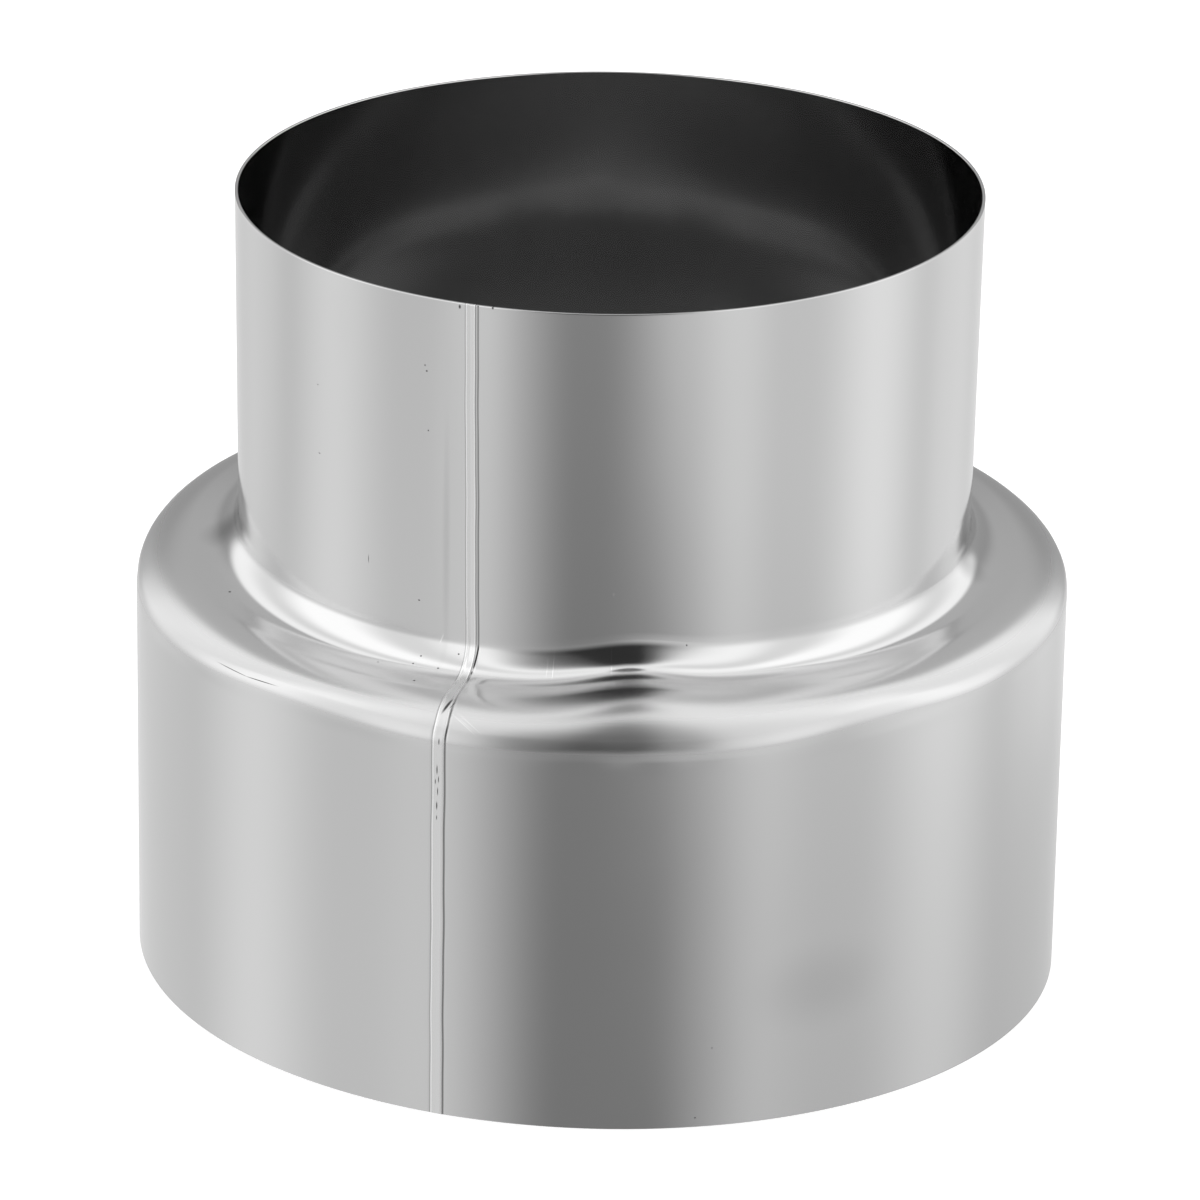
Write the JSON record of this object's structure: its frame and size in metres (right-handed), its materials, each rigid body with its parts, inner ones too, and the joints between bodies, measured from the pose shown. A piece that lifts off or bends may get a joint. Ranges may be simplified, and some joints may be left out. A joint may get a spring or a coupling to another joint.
{
  "type": "duct reducer",
  "caption": "Round sheet-steel duct reducer: a wide straight skirt, a spun shoulder and a narrower straight collar, closed by one lengthwise weld.",
  "frame": {"origin": "centre of the wide end's rim, in the plane that the part stands on", "axes": "+Z along the duct's axis from the wide end to the narrow one, -Y towards the front, which the lengthwise weld stands left of"},
  "size_m": [0.15, 0.15, 0.13],
  "materials": {
    "stainless_sheet": "satin-bright rolled stainless sheet, neutral grey, with a fine planished weld line"
  },
  "bodies": {
    "root": {"reducer_body": "stainless_sheet"}
  },
  "joints": []
}
